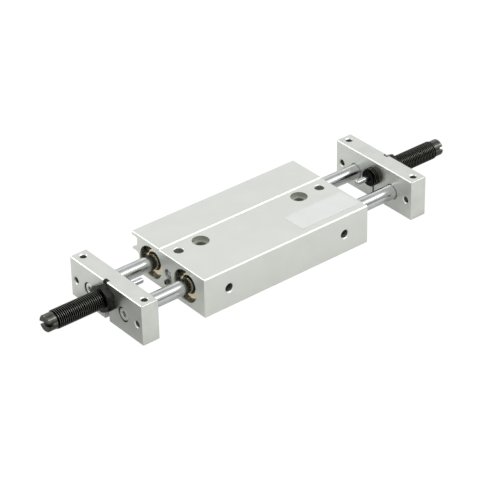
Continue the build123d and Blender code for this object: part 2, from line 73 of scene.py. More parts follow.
# Sizes are in mm. grain is the width of the finish's own marks, depth their height, and patch the width of
# its slow changes of tone. turnedAbout is the Y and Z of the axis that the marks run round. crest gives the
# radii between which a thread turns to its lighter crest colour: partly wear, partly a painted highlight. For
# the body, half the length and width of the strip with the holes is given, and the painted shade on their
# walls.
# Blasting, lapping and grinding leave marks under 0.1 mm wide, too fine to show in the render, so they are
# drawn this coarse.
finishes = {
    # clear anodised aluminium, bead blasted first: an even, soft silver with a slight grey-green cast.
    # The steep walls of the holes drilled down its middle are rougher, and darker with painted shade
    "satinAnodisedAluminium": {
        "colour": "#DCDED9", "shade": "#D6D9D3", "metallic": 1.0, "roughness": (0.36, 0.46),
        "grain": (0.25, 0.25, 0.25), "depth": 0.004, "patch": 14.0, "boredWallShade": ((50.0, 4.7), "#B2B3AB"),
    },
    # clear anodised aluminium, milled all over first: smoother and a little darker than the body
    "milledAnodisedAluminium": {
        "colour": "#D7D9D4", "shade": "#CBCEC8", "metallic": 1.0, "roughness": (0.3, 0.38),
        "grain": (0.25, 0.25, 0.25), "depth": 0.004, "patch": 9.0,
    },
    # hard chrome, ground and lapped: a near mirror with faint rings round the rod
    "groundHardChrome": {
        "colour": "#CBCDCD", "shade": "#BDBFBF", "metallic": 1.0, "roughness": (0.15, 0.22),
        "grain": (0.3, 0.3, 0.3), "depth": 0.001, "patch": 6.0, "turnedAbout": (boreY, boreZ),
    },
    # bearing bronze, turned: warm beige rings that catch the light
    "turnedBronze": {
        "colour": "#F2E8CA", "shade": "#E2D4AE", "metallic": 1.0, "roughness": (0.2, 0.3),
        "grain": (0.3, 0.3, 0.3), "depth": 0.004, "patch": 3.0, "turnedAbout": (boreY, boreZ),
    },
    # sintered bronze, pressed from powder: dull brown with open pores
    "sinteredBronze": {
        "colour": "#8C7048", "shade": "#6E5636", "metallic": 1.0, "roughness": (0.45, 0.6),
        "grain": (0.2, 0.2, 0.2), "depth": 0.02, "patch": 1.2,
    },
    # nitrile rubber, moulded: deep matt black
    "mouldedNitrile": {
        "colour": "#242322", "shade": "#1A1918", "metallic": 0.0, "roughness": (0.5, 0.62),
        "grain": (0.3, 0.3, 0.3), "depth": 0.006, "patch": 2.0,
    },
    # urethane, cast: amber and slightly waxy
    "castUrethane": {
        "colour": "#B98F4A", "shade": "#A67D3C", "metallic": 0.0, "roughness": (0.32, 0.42),
        "grain": (0.4, 0.4, 0.4), "depth": 0.005, "patch": 3.0,
    },
    # spring steel, stamped and phosphated: dark grey with a soft shine and mottled tone
    "phosphatedSpringSteel": {
        "colour": "#4A4946", "shade": "#2E2D2B", "metallic": 1.0, "roughness": (0.22, 0.34),
        "grain": (0.15, 0.15, 0.15), "depth": 0.006, "patch": 1.5,
    },
    # steel plate screws, cold headed and zinc plated: pale grey-white metal
    "zincPlatedSteel": {
        "colour": "#E4E6E3", "shade": "#D4D6D3", "metallic": 1.0, "roughness": (0.28, 0.38),
        "grain": (0.2, 0.2, 0.2), "depth": 0.003, "patch": 1.6,
    },
    # steel plugs and small end screws, zinc plated and dulled by thread sealant: mid grey, no longer bright
    "dulledZincSteel": {
        "colour": "#8B8C87", "shade": "#6E6F6A", "metallic": 1.0, "roughness": (0.26, 0.38),
        "grain": (0.2, 0.2, 0.2), "depth": 0.003, "patch": 1.6,
    },
    # aluminium, turned and left bare: pale silver with fine rings
    "turnedAluminium": {
        "colour": "#D2D4D4", "shade": "#C2C4C4", "metallic": 1.0, "roughness": (0.26, 0.36),
        "grain": (0.25, 0.25, 0.25), "depth": 0.004, "patch": 4.0, "turnedAbout": (boreY, boreZ),
    },
    # nylon, moulded: warm white and slightly waxy
    "mouldedNylon": {
        "colour": "#E6E1D2", "shade": "#DAD4C4", "metallic": 0.0, "roughness": (0.38, 0.48),
        "grain": (0.3, 0.3, 0.3), "depth": 0.004, "patch": 2.0,
    },
    # magnet powder bonded in resin: charcoal with fine sparkle
    "bondedMagnet": {
        "colour": "#3D3B39", "shade": "#2F2D2B", "metallic": 0.4, "roughness": (0.42, 0.55),
        "grain": (0.12, 0.12, 0.12), "depth": 0.004, "patch": 2.0,
    },
    # steel tube with a rolled thread, black oxide: oily black with grey crests, partly worn and partly a
    # painted highlight
    "blackOxideSteel": {
        "colour": "#0C0D0C", "shade": "#060706", "metallic": 1.0, "roughness": (0.22, 0.32),
        "grain": (0.2, 0.2, 0.2), "depth": 0.003, "patch": 2.5, "turnedAbout": (0.0, absorberZ),
        "crest": (4.9, 4.98, "#7E8078"),
    },
    # steel nut, milled from bar and blacked: dark grey with a shine on its flats
    "blackedNutSteel": {
        "colour": "#42433F", "shade": "#2D2E2B", "metallic": 1.0, "roughness": (0.2, 0.3),
        "grain": (0.2, 0.2, 0.2), "depth": 0.004, "patch": 2.5,
    },
    # steel cap, turned and dark oxided: smoother than the tube, so it shows a bright band
    "darkOxideSteel": {
        "colour": "#6A6A66", "shade": "#51514D", "metallic": 1.0, "roughness": (0.11, 0.17),
        "grain": (0.3, 0.3, 0.3), "depth": 0.004, "patch": 2.0, "turnedAbout": (0.0, absorberZ),
    },
    # steel, hardened and ground, for plungers and pressed balls: bright and nearly a mirror
    "groundSteel": {
        "colour": "#CDCFD0", "shade": "#BCBEBF", "metallic": 1.0, "roughness": (0.14, 0.22),
        "grain": (0.2, 0.2, 0.2), "depth": 0.001, "patch": 1.5, "turnedAbout": (0.0, absorberZ),
    },
    # thread cut in anodised aluminium, coloured much darker than the metal: painted shade for its deep flanks
    "cutThread": {
        "colour": "#5E605C", "shade": "#454743", "metallic": 1.0, "roughness": (0.3, 0.4),
        "grain": (0.2, 0.2, 0.2), "depth": 0.004, "patch": 1.5,
    },
    # label, silver-white polyester film: smooth and a little glossier than the body
    "labelFilm": {
        "colour": "#CFD1CE", "shade": "#CACCC9", "metallic": 0.0, "roughness": (0.34, 0.4),
        "grain": (0.5, 0.5, 0.5), "depth": 0.001, "patch": 10.0,
    },
}

# how grain and patches mix, and where colour and gloss turn from one end of their range to the other
surfaceMix = {
    "grainShare": 0.35, "patchShare": 0.65, "grainDetail": 3.0, "grainRoughness": 0.6, "patchDetail": 2.0,
    "colourFrom": 0.35, "colourTo": 0.65, "glossFrom": 0.3, "glossTo": 0.7,
    "steep": 0.5, "boredRoughness": 0.65,  # a wall is steep where its normal's Z is below this
}


def makeMaterial(name, look):
    s = surfaceMix
    material = bpy.data.materials.new(name)
    tree = emptyTree(material)
    where = addNode(tree, "ShaderNodeTexCoord").outputs["Object"]
    grainPlace = where
    if "turnedAbout" in look:  # only the way along and away from the axis counts, so the marks are rings
        centreY, centreZ = look["turnedAbout"]
        folded = addNode(tree, "ShaderNodeVectorMath", links={0: where}, operation="ABSOLUTE").outputs[0]
        across = addNode(tree, "ShaderNodeVectorMath", {1: (0, centreY * mm, centreZ * mm)}, {0: folded},
                         operation="SUBTRACT").outputs[0]
        flat = addNode(tree, "ShaderNodeVectorMath", {1: (0, 1, 1)}, {0: across},
                       operation="MULTIPLY").outputs[0]
        away = addNode(tree, "ShaderNodeVectorMath", links={0: flat}, operation="LENGTH").outputs["Value"]
        along = addNode(tree, "ShaderNodeSeparateXYZ", links={0: where}).outputs["X"]
        grainPlace = addNode(tree, "ShaderNodeCombineXYZ", links={"X": along, "Y": away}).outputs[0]
    scaled = addNode(tree, "ShaderNodeMapping", {"Scale": tuple(1 / (size * mm) for size in look["grain"])},
                     {"Vector": grainPlace}).outputs[0]
    grain = addNode(tree, "ShaderNodeTexNoise", {"Scale": 1.0, "Detail": s["grainDetail"],
                                                 "Roughness": s["grainRoughness"]},
                    {"Vector": scaled}).outputs["Fac"]
    patch = addNode(tree, "ShaderNodeTexNoise", {"Scale": 1 / (look["patch"] * mm),
                                                 "Detail": s["patchDetail"]},
                    {"Vector": where}).outputs["Fac"]
    fine = addNode(tree, "ShaderNodeMath", {1: s["grainShare"]}, {0: grain}, operation="MULTIPLY").outputs[0]
    blend = addNode(tree, "ShaderNodeMath", {1: s["patchShare"]}, {0: patch, 2: fine},
                    operation="MULTIPLY_ADD").outputs[0]
    ramp = addNode(tree, "ShaderNodeValToRGB", links={"Fac": blend})
    darker, lighter = ramp.color_ramp.elements
    darker.position, darker.color = s["colourFrom"], linear(look["shade"])
    lighter.position, lighter.color = s["colourTo"], linear(look["colour"])
    base = ramp.outputs["Color"]
    low, high = look["roughness"]
    rough = addNode(tree, "ShaderNodeMapRange", {"From Min": s["glossFrom"], "From Max": s["glossTo"],
                                                 "To Min": low, "To Max": high}, {"Value": blend}).outputs[0]
    if "crest" in look:  # the thread's crests are lighter than its roots: partly wear from rolling and handling, partly a painted highlight
        low, high, wearAndSheen = look["crest"]
        top = addNode(tree, "ShaderNodeMapRange", {"From Min": low * mm, "From Max": high * mm},
                      {"Value": away}).outputs[0]
        base = addNode(tree, "ShaderNodeMix", {"B": linear(wearAndSheen)}, {"Factor": top, "A": base},
                       data_type="RGBA").outputs["Result"]
    if "boredWallShade" in look:  # upright walls near the middle line belong to drilled holes, and get painted shade
        (reachX, reachY), wallShade = look["boredWallShade"]
        folded = addNode(tree, "ShaderNodeVectorMath", links={0: where}, operation="ABSOLUTE").outputs[0]
        spread = addNode(tree, "ShaderNodeVectorMath", {1: (reachX * mm, reachY * mm, 1)}, {0: folded},
                         operation="DIVIDE").outputs[0]
        parts = addNode(tree, "ShaderNodeSeparateXYZ", links={0: spread}).outputs
        farther = addNode(tree, "ShaderNodeMath", links={0: parts["X"], 1: parts["Y"]},
                          operation="MAXIMUM").outputs[0]
        within = addNode(tree, "ShaderNodeMath", {1: 1.0}, {0: farther}, operation="LESS_THAN").outputs[0]
        facing = addNode(tree, "ShaderNodeNewGeometry").outputs["True Normal"]
        tilt = addNode(tree, "ShaderNodeSeparateXYZ", links={0: facing}).outputs["Z"]
        lean = addNode(tree, "ShaderNodeMath", links={0: tilt}, operation="ABSOLUTE").outputs[0]
        upright = addNode(tree, "ShaderNodeMath", {1: s["steep"]}, {0: lean},
                          operation="LESS_THAN").outputs[0]
        wall = addNode(tree, "ShaderNodeMath", links={0: within, 1: upright}, operation="MULTIPLY").outputs[0]
        # painted shade: the hole walls take the darker colour; their higher roughness is their own
        base = addNode(tree, "ShaderNodeMix", {"B": linear(wallShade)}, {"Factor": wall, "A": base},
                       data_type="RGBA").outputs["Result"]
        rough = addNode(tree, "ShaderNodeMix", {"B": s["boredRoughness"]},
                        {"Factor": wall, "A": rough}).outputs["Result"]
    bump = addNode(tree, "ShaderNodeBump", {"Strength": 1.0, "Distance": look["depth"] * mm},
                   {"Height": grain}).outputs[0]
    shader = addNode(tree, "ShaderNodeBsdfPrincipled", {"Metallic": look["metallic"]},
                     {"Base Color": base, "Roughness": rough, "Normal": bump})
    addNode(tree, "ShaderNodeOutputMaterial", links={"Surface": shader.outputs[0]})
    return material


materials = {name: makeMaterial(name, look) for name, look in finishes.items()}

nodeFinishes = {  # by the start of the node's name; the longest that fits counts
    "body_block": "satinAnodisedAluminium", "end_plate": "milledAnodisedAluminium",
    "rod_near": "groundHardChrome", "rod_far": "groundHardChrome", "rod_clips": "phosphatedSpringSteel",
    "rod_cover": "turnedBronze", "rod_seal": "mouldedNitrile", "guide_bush": "sinteredBronze",
    "cover_o_ring": "mouldedNitrile", "bumper": "castUrethane", "retaining_ring": "phosphatedSpringSteel",
    "piston_near": "turnedAluminium", "piston_far": "turnedAluminium", "piston_seals": "mouldedNitrile",
    "wear_ring": "mouldedNylon", "magnet_ring": "bondedMagnet",
    "port_plug": "dulledZincSteel", "passage_plug": "groundSteel", "bleed_screw": "dulledZincSteel",
    "plate_screws": "zincPlatedSteel", "absorber_body": "blackOxideSteel",
    "absorber_cap": "darkOxideSteel", "lock_nut": "blackedNutSteel", "plunger": "groundSteel",
}
for nodeName, node in nodes.items():
    known = [prefix for prefix in nodeFinishes if nodeName.startswith(prefix)]
    node.data.materials.clear()
    node.data.materials.append(materials[nodeFinishes[max(known, key=len)]])
print("finishes given to", len(nodes), "nodes")


def skin(bm, first, second):  # faces between two rings; a ring of one vertex is a pole
    count = max(len(first), len(second))
    for i in range(count):
        j = (i + 1) % count
        corners = (first[i % len(first)], first[j % len(first)],
                   second[j % len(second)], second[i % len(second)])
        bm.faces.new(list(dict.fromkeys(corners)))


knurlDepth = 0.12  # mm, by which every second point of a knurled ring stands back


def ringOf(bm, section, segments):  # a section is (place along X, radius, form), in mm
    along, radius, form = (*section, "round")[:3]
    if radius == 0:
        return [bm.verts.new((along * mm, 0, 0))]
    ring = []
    for i in range(segments):
        angle = 2 * math.pi * i / segments
        reach = radius
        if form == "hex":  # radius is half the width across flats
            reach = radius / math.cos((angle + math.pi / 6) % (math.pi / 3) - math.pi / 6)
        if form == "knurled":
            reach = radius - knurlDepth * (i % 2)
        ring.append(bm.verts.new((along * mm, reach * math.cos(angle) * mm, reach * math.sin(angle) * mm)))
    return ring


def loft(sections, segments):
    bm = bmesh.new()
    rings = [ringOf(bm, section, segments) for section in sections]
    for first, second in zip(rings, rings[1:]):
        skin(bm, first, second)
    return bm


creaseAngle = 32  # degrees; a steeper edge stays crisp


def toObject(bm, name, material, matrix=Matrix.Identity(4)):
    bm.transform(matrix)
    bmesh.ops.recalc_face_normals(bm, faces=bm.faces)
    mesh = bpy.data.meshes.new(name)
    bm.to_mesh(mesh)
    bm.free()
    mesh.materials.append(materials[material])
    mesh.shade_smooth()
    mesh.set_sharp_from_angle(angle=math.radians(creaseAngle))
    piece = bpy.data.objects.new(name, mesh)
    bpy.context.scene.collection.objects.link(piece)
    return piece


def plainMesh(piece):  # the result of the modifiers, as one mesh
    bpy.context.view_layer.update()
    graph = bpy.context.evaluated_depsgraph_get()
    mesh = bpy.data.meshes.new_from_object(piece.evaluated_get(graph), depsgraph=graph)
    piece.modifiers.clear()
    return mesh


def addInputs(tree, inputs):
    for label, kind in inputs.items():
        tree.interface.new_socket(name=label, in_out="INPUT", socket_type="NodeSocket" + kind)
    tree.interface.new_socket(name="Geometry", in_out="OUTPUT", socket_type="NodeSocketGeometry")
    return addNode(tree, "NodeGroupInput").outputs


def setInputs(piece, tree, values):
    modifier = piece.modifiers.new("shape", "NODES")
    modifier.node_group = tree
    for item in tree.interface.items_tree:
        if item.item_type == "SOCKET" and item.in_out == "INPUT":
            modifier[item.identifier] = values[item.name]


def endTree(tree, geometry, material):
    real = addNode(tree, "GeometryNodeRealizeInstances", links={"Geometry": geometry}).outputs[0]
    painted = addNode(tree, "GeometryNodeSetMaterial",
                      links={"Geometry": real, "Material": material}).outputs[0]
    addNode(tree, "NodeGroupOutput", links={"Geometry": painted})


# A thread is a flat sheet of quads wound into a helix. Each turn has four rows of points: the two edges of
# its crest, then the two edges of its root.
threadForm = {
    "crest": 0.125, "flank": 0.3125, "root": 0.25,  # widths in pitches; a second flank fills the turn
    "weld": 0.001, "mend": 0.002, "sliver": 0.0001,  # mm; points this near are joined, and shorter edges go
}
rowsPerTurn = 4


def buildThreadTree():
    form = threadForm
    tree = bpy.data.node_groups.new("windThread", "GeometryNodeTree")
    given = addInputs(tree, {
        "Length": "Float", "Pitch": "Float", "Base Radius": "Float", "Height": "Float",
        "Turns": "Int", "Around": "Int", "Material": "Material",
    })
    rows = addNode(tree, "ShaderNodeMath", {1: rowsPerTurn}, {0: given["Turns"]},
                   operation="MULTIPLY").outputs[0]
    rowPoints = addNode(tree, "ShaderNodeMath", {1: 1}, {0: rows}, operation="ADD").outputs[0]
    ringPoints = addNode(tree, "ShaderNodeMath", {1: 1}, {0: given["Around"]}, operation="ADD").outputs[0]
    sheet = addNode(tree, "GeometryNodeMeshGrid", {"Size X": 1.0, "Size Y": 1.0},
                    {"Vertices X": rowPoints, "Vertices Y": ringPoints}).outputs["Mesh"]
    # the sheet lies from -0.5 to 0.5: X gives each point its row, Y how far round the turn it is
    place = addNode(tree, "GeometryNodeInputPosition").outputs[0]
    parts = addNode(tree, "ShaderNodeSeparateXYZ", links={0: place}).outputs
    share = addNode(tree, "ShaderNodeMath", {1: 0.5}, {0: parts["X"]}, operation="ADD").outputs[0]
    exact = addNode(tree, "ShaderNodeMath", links={0: share, 1: rows}, operation="MULTIPLY").outputs[0]
    row = addNode(tree, "ShaderNodeMath", links={0: exact}, operation="ROUND").outputs[0]
    turn = addNode(tree, "ShaderNodeMath", {1: 0.5}, {0: parts["Y"]}, operation="ADD").outputs[0]
    inTurn = addNode(tree, "ShaderNodeMath", {1: rowsPerTurn}, {0: row},
                     operation="FLOORED_MODULO").outputs[0]
    turns = addNode(tree, "ShaderNodeMath", {1: rowsPerTurn}, {0: row}, operation="DIVIDE").outputs[0]
    whole = addNode(tree, "ShaderNodeMath", links={0: turns}, operation="FLOOR").outputs[0]
    start = addNode(tree, "ShaderNodeMath", {1: -1}, {0: whole}, operation="ADD").outputs[0]
    wound = addNode(tree, "ShaderNodeMath", links={0: start, 1: turn}, operation="ADD").outputs[0]
    passed = [addNode(tree, "ShaderNodeMath", {1: number - 0.5}, {0: inTurn},
                      operation="GREATER_THAN").outputs[0] for number in (1, 2, 3)]
    for reached, width in zip(passed, (form["crest"], form["flank"], form["root"])):
        wound = addNode(tree, "ShaderNodeMath", {1: width}, {0: reached, 2: wound},
                        operation="MULTIPLY_ADD").outputs[0]
    reach = addNode(tree, "ShaderNodeMath", links={0: wound, 1: given["Pitch"]},
                    operation="MULTIPLY").outputs[0]
    above = addNode(tree, "ShaderNodeMath", {1: 0}, {0: reach}, operation="MAXIMUM").outputs[0]
    along = addNode(tree, "ShaderNodeMath", links={0: above, 1: given["Length"]},
                    operation="MINIMUM").outputs[0]
    left = addNode(tree, "ShaderNodeMath", links={0: given["Length"], 1: along},
                   operation="SUBTRACT").outputs[0]
    spare = addNode(tree, "ShaderNodeMath", links={0: along, 1: left}, operation="MINIMUM").outputs[0]
    size = addNode(tree, "ShaderNodeMath", links={0: given["Height"]}, operation="ABSOLUTE").outputs[0]
    # the crest's height runs out over its own length at both ends
    taper = addNode(tree, "ShaderNodeMath", links={0: spare, 1: size}, operation="DIVIDE").outputs[0]
    crest = addNode(tree, "ShaderNodeMath", {0: 1}, {1: passed[1]}, operation="SUBTRACT").outputs[0]
    shape = addNode(tree, "ShaderNodeMath", links={0: crest, 1: taper}, operation="MINIMUM").outputs[0]
    radius = addNode(tree, "ShaderNodeMath", links={0: shape, 1: given["Height"], 2: given["Base Radius"]},
                     operation="MULTIPLY_ADD").outputs[0]
    angle = addNode(tree, "ShaderNodeMath", {1: 2 * math.pi}, {0: turn}, operation="MULTIPLY").outputs[0]
    across = addNode(tree, "ShaderNodeMath", links={0: angle}, operation="COSINE").outputs[0]
    upward = addNode(tree, "ShaderNodeMath", links={0: angle}, operation="SINE").outputs[0]
    y = addNode(tree, "ShaderNodeMath", links={0: radius, 1: across}, operation="MULTIPLY").outputs[0]
    z = addNode(tree, "ShaderNodeMath", links={0: radius, 1: upward}, operation="MULTIPLY").outputs[0]
    spot = addNode(tree, "ShaderNodeCombineXYZ", links={"X": along, "Y": y, "Z": z}).outputs[0]
    moved = addNode(tree, "GeometryNodeSetPosition", links={"Geometry": sheet, "Position": spot}).outputs[0]
    joined = addNode(tree, "GeometryNodeMergeByDistance", {"Distance": form["weld"] * mm},
                     {"Geometry": moved}).outputs[0]
    endTree(tree, joined, given["Material"])
    return tree


threadTree = buildThreadTree()


def woundThread(length, pitch, baseRadius, height, around, material):  # open ended, along X from 0
    holder = bpy.data.objects.new("thread", bpy.data.meshes.new("thread"))
    bpy.context.scene.collection.objects.link(holder)
    setInputs(holder, threadTree, {
        "Length": length * mm, "Pitch": pitch * mm, "Base Radius": baseRadius * mm, "Height": height * mm,
        "Turns": math.ceil(length / pitch) + 2, "Around": around, "Material": materials[material],
    })
    mesh = plainMesh(holder)
    bm = bmesh.new()
    bm.from_mesh(mesh)
    bpy.data.objects.remove(holder)
    bpy.data.meshes.remove(mesh)
    bmesh.ops.remove_doubles(bm, verts=bm.verts, dist=threadForm["mend"] * mm)
    bmesh.ops.dissolve_degenerate(bm, edges=bm.edges, dist=threadForm["sliver"] * mm)
    return bm


almostTurn = 2 * math.pi - 1e-4  # a point that rounding leaves just short of a full turn sorts first


def closeThread(bm, around, lowSections=(), highSections=()):  # carries both ends on, then joins what is open
    middle = sum(v.co.x for v in bm.verts) / len(bm.verts)
    rims = [v for v in bm.verts if any(e.is_boundary for e in v.link_edges)]
    ends = []
    for side, sections in ((-1, lowSections), (1, highSections)):
        ring = sorted((v for v in rims if (v.co.x - middle) * side > 0),
                      key=lambda v: math.atan2(v.co.z, v.co.y) % almostTurn)
        for section in sections:
            fresh = ringOf(bm, section, around)
            skin(bm, ring, fresh)
            ring = fresh
        ends.append(ring)
    if len(ends[0]) > 1 and len(ends[1]) > 1:
        skin(bm, ends[0], ends[1])
    return bm


def buildSpreadTree():  # copies of one piece on a grid of points; Face Out turns the left ones round
    tree = bpy.data.node_groups.new("setOut", "GeometryNodeTree")
    given = addInputs(tree, {"Piece": "Object", "Along X": "Int", "Along Y": "Int", "Spacing X": "Float",
                             "Spacing Y": "Float", "Centre": "Vector", "Turn": "Vector", "Face Out": "Float",
                             "Material": "Material"})
    sheet = addNode(tree, "GeometryNodeMeshGrid",
                    links={"Size X": given["Spacing X"], "Size Y": given["Spacing Y"],
                           "Vertices X": given["Along X"], "Vertices Y": given["Along Y"]}).outputs["Mesh"]
    piece = addNode(tree, "GeometryNodeObjectInfo", links={"Object": given["Piece"]}).outputs["Geometry"]
    place = addNode(tree, "GeometryNodeInputPosition").outputs[0]
    x = addNode(tree, "ShaderNodeSeparateXYZ", links={0: place}).outputs["X"]
    onLeft = addNode(tree, "ShaderNodeMath", {1: 0.0}, {0: x}, operation="LESS_THAN").outputs[0]
    chosen = addNode(tree, "ShaderNodeMath", links={0: onLeft, 1: given["Face Out"]},
                     operation="MULTIPLY").outputs[0]
    half = addNode(tree, "ShaderNodeMath", {1: math.pi}, {0: chosen}, operation="MULTIPLY").outputs[0]
    about = addNode(tree, "ShaderNodeCombineXYZ", links={"Z": half}).outputs[0]
    turned = addNode(tree, "ShaderNodeVectorMath", links={0: about, 1: given["Turn"]},
                     operation="ADD").outputs[0]
    copies = addNode(tree, "GeometryNodeInstanceOnPoints",
                     links={"Points": sheet, "Instance": piece, "Rotation": turned}).outputs[0]
    moved = addNode(tree, "GeometryNodeTransform",
                    links={"Geometry": copies, "Translation": given["Centre"]}).outputs[0]
    endTree(tree, moved, given["Material"])
    return tree


spreadTree = buildSpreadTree()


def setOut(bm, name, material, body, grid):
    pattern = toObject(bm, "pattern", material)
    holder = bpy.data.objects.new(name, bpy.data.meshes.new(name))
    bpy.context.scene.collection.objects.link(holder)
    setInputs(holder, spreadTree, {
        "Piece": pattern, "Along X": grid["count"][0], "Along Y": grid["count"][1],
        "Spacing X": grid["spacing"][0] * mm, "Spacing Y": grid["spacing"][1] * mm,
        "Centre": [value * mm for value in grid["centre"]],
        "Turn": [math.radians(value) for value in grid.get("turn", (0, 0, 0))],
        "Face Out": 1.0 if grid.get("faceOut") else 0.0, "Material": materials[material],
    })
    holder.data = plainMesh(holder)
    holder.data.name = name
    bpy.data.objects.remove(pattern)
    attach(holder, body)
    return holder


rodSize = {  # mm; the clip grooves hold the pistons, the tapped ends take the plate screws
    "radius": 4.0, "end": 83.5, "chamfer": 0.5, "clipIn": 9.0, "clipWidth": 0.9, "clipDepth": 0.6,
    "tapRadius": 2.03, "tapEnd": 73.6, "segments": 128,
}


def makeRod(name, y, node):
    s = rodSize
    clipOut, clipRadius = s["clipIn"] + s["clipWidth"], s["radius"] - s["clipDepth"]
    half = [
        (s["tapEnd"], 0), (s["tapEnd"], s["tapRadius"]), (s["end"], s["tapRadius"]),
        (s["end"], s["radius"] - s["chamfer"]), (s["end"] - s["chamfer"], s["radius"]),
        (clipOut, s["radius"]), (clipOut, clipRadius), (s["clipIn"], clipRadius), (s["clipIn"], s["radius"]),
    ]
    sections = half + [(-along, radius) for along, radius in reversed(half)]
    place = Matrix.Translation(Vector((carriageX, y, boreZ)) * mm)
    rod = toObject(loft(sections, s["segments"]), name, "groundHardChrome", place)
    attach(rod, "carriage")
    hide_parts(node)


makeRod("rodNear", -boreY, "rod_near")
makeRod("rodFar", boreY, "rod_far")
print("rods made")


absorberSize = {  # mm; a tube with a rolled fine thread, and inside it the plunger's guide and chamber
    "start": 78.0, "length": 45.3, "pitch": 1.1, "baseRadius": 4.34, "threadHeight": 0.65, "around": 72,
    "guideRadius": 1.55, "guideChamfer": 0.25, "noseWall": 6.0, "chamberRadius": 3.5,
}


def makeAbsorber(name, side, node):
    s = absorberSize
    finish = "blackOxideSteel"
    bm = woundThread(s["length"], s["pitch"], s["baseRadius"], s["threadHeight"], s["around"], finish)
    closeThread(bm, s["around"], [
        (0, s["guideRadius"] + s["guideChamfer"]), (s["guideChamfer"], s["guideRadius"]),
        (s["noseWall"], s["guideRadius"]), (s["noseWall"], s["chamberRadius"]),
        (s["length"], s["chamberRadius"]),
    ])
    # the left one is turned round, not mirrored, so its thread stays right handed
    turn = Matrix.Identity(4) if side > 0 else Matrix.Rotation(math.pi, 4, "Z")
    place = Matrix.Translation(Vector((carriageX + side * s["start"], 0, absorberZ)) * mm) @ turn
    tube = toObject(bm, name, finish, place)
    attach(tube, "carriage")
    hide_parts(node)


makeAbsorber("absorberTubeLeft", -1, "absorber_body_left")
makeAbsorber("absorberTubeRight", 1, "absorber_body_right")
print("absorber threads wound")


def keySocket(s, end):  # hexagon socket from the end inwards: chamfered mouth, walls, cone at the bottom
    return [
        (end, s["keyRadius"] * s["keyMouth"]), (end - s["keyChamfer"], s["keyRadius"], "hex"),
        (end - s["keyDepth"], s["keyRadius"], "hex"), (end - s["keyDepth"] - s["keyCone"], 0),
    ]


plateScrewSize = {
    "headRadius": 3.5, "headHeight": 4.0, "foot": 0.2, "knurlStop": 0.8, "knurlEnd": 0.7, "edge": 0.3,
    "edgeBend": 0.3,  # share of the edge at which its chamfer bends
    "keyRadius": 1.5, "keyDepth": 2.7, "keyMouth": 1.2, "keyChamfer": 0.18, "keyCone": 0.5,
    "shankRadius": 1.9, "shankLength": 12.0, "shankChamfer": 0.4, "segments": 96, "seat": 87.6,
}


def makePlateScrews():
    s = plateScrewSize
    top, radius, edge = s["headHeight"], s["headRadius"], s["edge"]
    tip, thick, chamfer = -s["shankLength"], s["shankRadius"], s["shankChamfer"]
    sections = [
        (tip, 0), (tip, thick - chamfer), (tip + chamfer, thick), (0, thick),
        (0, radius - s["foot"]), (s["foot"], radius, "knurled"),
        (top - s["knurlStop"], radius, "knurled"), (top - s["knurlEnd"], radius), (top - edge, radius),
        (top - edge * s["edgeBend"], radius - edge * s["edgeBend"]), (top, radius - edge),
    ] + keySocket(s, top)
    screws = setOut(loft(sections, s["segments"]), "plateScrews", "zincPlatedSteel", "carriage", {
        "count": (2, 2), "spacing": (2 * s["seat"], 2 * boreY), "centre": (carriageX, 0, boreZ),
        "faceOut": True,
    })
    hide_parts("plate_screws_left", "plate_screws_right")


makePlateScrews()


bleedScrewSize = {
    "length": 6.0, "pitch": 0.5, "baseRadius": 1.2, "threadHeight": 0.28, "around": 36,
    "keyRadius": 0.75, "keyDepth": 2.0, "keyMouth": 1.25, "keyChamfer": 0.1, "keyCone": 0.2,
    "stand": 1.8, "drop": 4.4,  # out of the end face, and under the bores' height
}


def makeBleedScrews():
    s = bleedScrewSize
    finish = "dulledZincSteel"
    bm = woundThread(s["length"], s["pitch"], s["baseRadius"], s["threadHeight"], s["around"], finish)
    closeThread(bm, s["around"], [(0, 0)], keySocket(s, s["length"]))
    reach = bodyEnd + s["stand"] - s["length"]
    screws = setOut(bm, "bleedScrews", finish, "housing", {
        "count": (2, 1), "spacing": (2 * reach, 0), "centre": (0, 0, boreZ - s["drop"]), "faceOut": True,
    })
    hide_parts("bleed_screw_left", "bleed_screw_right")


makeBleedScrews()

portPlugSize = {
    "length": 4.5, "pitch": 0.8, "baseRadius": 2.05, "threadHeight": 0.42, "around": 48,
    "keyRadius": 1.25, "keyDepth": 2.25, "keyMouth": 1.25, "keyChamfer": 0.15, "keyCone": 0.4,
    "inset": 7.2, "sink": 2.0,  # from the body's end, and below its top
}


def makePortPlugs():
    s = portPlugSize
    finish = "dulledZincSteel"
    bm = woundThread(s["length"], s["pitch"], s["baseRadius"], s["threadHeight"], s["around"], finish)
    closeThread(bm, s["around"], [(0, 0)], keySocket(s, s["length"]))
    plugs = setOut(bm, "portPlugs", finish, "housing", {
        "count": (2, 1), "spacing": (2 * (bodyEnd - s["inset"]), 0),
        "centre": (0, 0, bodyTop - s["sink"] - s["length"]), "turn": (0, -90, 0),
    })
    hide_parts("port_plug_left", "port_plug_right")


makePortPlugs()
print("screws set out")


tapSize = {  # mm; each thread is a sleeve set in its hole's wall
    "plateRadius": 1.7, "platePitch": 0.7, "plateRidge": 0.16, "plateIn": 82.0, "plateThickness": 10.0,
    "holeY": 25.0, "topDepth": 8.0, "topZ": 23.6,
    "portRadius": 2.1, "portPitch": 0.8, "portRidge": 0.16, "portDepth": 7.0, "portX": 37.5,
    "portFace": -29.5,
    "entry": 0.5, "sunk": 0.02, "wall": 0.12, "around": 32,  # plain mouth, depth in the wall, sleeve's back
}


def tapped(radius, pitch, ridge, length):  # its ridges point inwards
    s = tapSize
    # the sleeve's dark colour is painted shade for the hole's deep flanks
    bm = woundThread(length - 2 * s["entry"], pitch, radius + s["sunk"], -ridge, s["around"], "cutThread")
    bmesh.ops.translate(bm, verts=bm.verts, vec=(s["entry"] * mm, 0, 0))
    back = radius + s["wall"]
    return closeThread(bm, s["around"], [(s["entry"], back)], [(length - s["entry"], back)])


